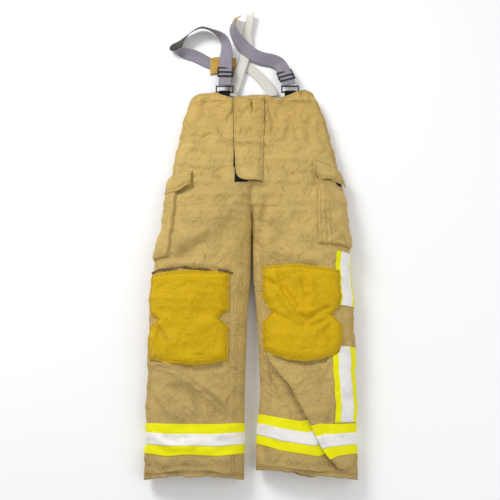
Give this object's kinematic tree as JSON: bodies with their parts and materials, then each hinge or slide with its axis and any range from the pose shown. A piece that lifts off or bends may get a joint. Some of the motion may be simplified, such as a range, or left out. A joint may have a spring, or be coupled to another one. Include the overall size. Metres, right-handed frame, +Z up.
{
  "type": "bunker pants",
  "caption": "Firefighter trousers with suspenders, laid flat: layered legs, storm fly over a zipper, cargo pockets, padded knees, reflective trim and grey webbing braces.",
  "frame": {"origin": "bottom centre of the whole part's box, on the floor that the garment lies on", "axes": "+X towards the wearer's left, +Y from the cuffs to the waist, +Z up, out of the garment's front"},
  "size_m": [0.5282, 1.3638, 0.0883],
  "materials": {
    "outer_shell": "matt woven, tan",
    "moisture_barrier": "matt coated non-woven",
    "thermal_liner": "matt quilted batting with a woven face",
    "knee_patch": "satin polymer-coated cloth, mustard",
    "knee_cushion": "matt felt",
    "reflective_trim": "satin fluorescent lime tape with a silver centre stripe",
    "black_binding": "matt coated cloth",
    "hook_and_loop": "matt bristle",
    "brass_zipper": "satin",
    "black_webbing": "matt woven",
    "black_buckle": "moulded satin",
    "grey_webbing": "matt woven",
    "white_elastic": "matt ribbed",
    "suede_patch": "matt suede, tan yellow"
  },
  "bodies": {
    "root": {"shell_front_right_thigh": "outer_shell", "moisture_barrier_front_right_thigh": "moisture_barrier", "thermal_liner_front_right_thigh": "thermal_liner", "shell_back_right_thigh": "outer_shell", "moisture_barrier_back_right_thigh": "moisture_barrier", "thermal_liner_back_right_thigh": "thermal_liner", "shell_front_left_thigh": "outer_shell", "moisture_barrier_front_left_thigh": "moisture_barrier", "thermal_liner_front_left_thigh": "thermal_liner", "shell_back_left_thigh": "outer_shell", "moisture_barrier_back_left_thigh": "moisture_barrier", "thermal_liner_back_left_thigh": "thermal_liner", "waist_facing": "black_binding", "fly_loop_strip": "hook_and_loop", "fly_shield": "black_binding", "zipper_half_right": "brass_zipper", "zipper_half_left": "brass_zipper", "cargo_pocket_right": "outer_shell", "cargo_pocket_left": "outer_shell", "knee_patch_right_upper": "knee_patch", "knee_cushion_right_upper": "knee_cushion", "knee_patch_left_upper": "knee_patch", "knee_cushion_left_upper": "knee_cushion", "side_trim_left_upper": "reflective_trim", "waist_tab_right": "black_webbing", "waist_tab_left": "black_webbing"},
    "right_shin": {"shell_front_right_shin": "outer_shell", "shell_back_right_shin": "outer_shell", "moisture_barrier_right_shin": "moisture_barrier", "thermal_liner_right_shin": "thermal_liner", "knee_patch_right_lower": "knee_patch", "knee_cushion_right_lower": "knee_cushion", "cuff_trim_front_right": "reflective_trim", "cuff_trim_back_right": "reflective_trim"},
    "left_shin": {"shell_front_left_shin": "outer_shell", "shell_back_left_shin": "outer_shell", "moisture_barrier_left_shin": "moisture_barrier", "thermal_liner_left_shin": "thermal_liner", "knee_patch_left_lower": "knee_patch", "knee_cushion_left_lower": "knee_cushion", "cuff_trim_front_left": "reflective_trim", "cuff_trim_back_left": "reflective_trim", "side_trim_left_lower": "reflective_trim"},
    "fly_flap": {"fly_flap": "outer_shell", "fly_hook_strip": "hook_and_loop"},
    "pocket_flap_right": {"pocket_flap_right": "outer_shell", "pocket_hook_strip_right": "hook_and_loop"},
    "pocket_flap_left": {"pocket_flap_left": "outer_shell", "pocket_hook_strip_left": "hook_and_loop"},
    "zipper_slider": {"zipper_slider": "brass_zipper", "zipper_pull": "brass_zipper"},
    "harness": {"waist_ring_right": "black_buckle", "waist_ring_left": "black_buckle", "suspender_strap_right": "grey_webbing", "suspender_strap_left": "grey_webbing", "back_elastic_right": "white_elastic", "back_elastic_left": "white_elastic", "suspender_back_patch": "suede_patch"},
    "adjuster_right": {"adjuster_right": "black_buckle"},
    "adjuster_left": {"adjuster_left": "black_buckle"}
  },
  "joints": [
    {"name": "right_knee_fold", "type": "hinge", "parent": "root", "child": "right_shin", "pos_m": [-0.1372, -0.2939, 0.0822], "axis": [-1, 0, 0], "range_deg": [0, 140]},
    {"name": "left_knee_fold", "type": "hinge", "parent": "root", "child": "left_shin", "pos_m": [0.1348, -0.2939, 0.0822], "axis": [-1, 0, 0], "range_deg": [0, 140]},
    {"name": "fly_flap_hinge", "type": "hinge", "parent": "root", "child": "fly_flap", "pos_m": [0.0268, 0.0601, 0.0798], "axis": [0.0345, 0.9939, -0.1049], "range_deg": [0, 150]},
    {"name": "right_pocket_flap_hinge", "type": "hinge", "parent": "root", "child": "pocket_flap_right", "pos_m": [-0.1973, 0.1041, 0.0591], "axis": [-0.9578, 0, -0.2873], "range_deg": [0, 140]},
    {"name": "left_pocket_flap_hinge", "type": "hinge", "parent": "root", "child": "pocket_flap_left", "pos_m": [0.2105, 0.119, 0.056], "axis": [-0.9062, 0.2175, 0.3625], "range_deg": [0, 140]},
    {"name": "zipper_slide", "type": "slide", "parent": "root", "child": "zipper_slider", "axis": [0, -0.9945, 0.105], "range_m": [0, 0.215]},
    {"name": "harness_flip", "type": "hinge", "parent": "root", "child": "harness", "pos_m": [-0.0012, 0.3741, 0.0289], "axis": [1, 0, 0], "range_deg": [0, 85]},
    {"name": "right_adjuster_slide", "type": "slide", "parent": "harness", "child": "adjuster_right", "axis": [0.0212, 0.9887, -0.1485], "range_m": [-0.018, 0.03]},
    {"name": "left_adjuster_slide", "type": "slide", "parent": "harness", "child": "adjuster_left", "axis": [-0.2956, 0.9433, -0.1509], "range_m": [-0.006, 0.02]}
  ]
}
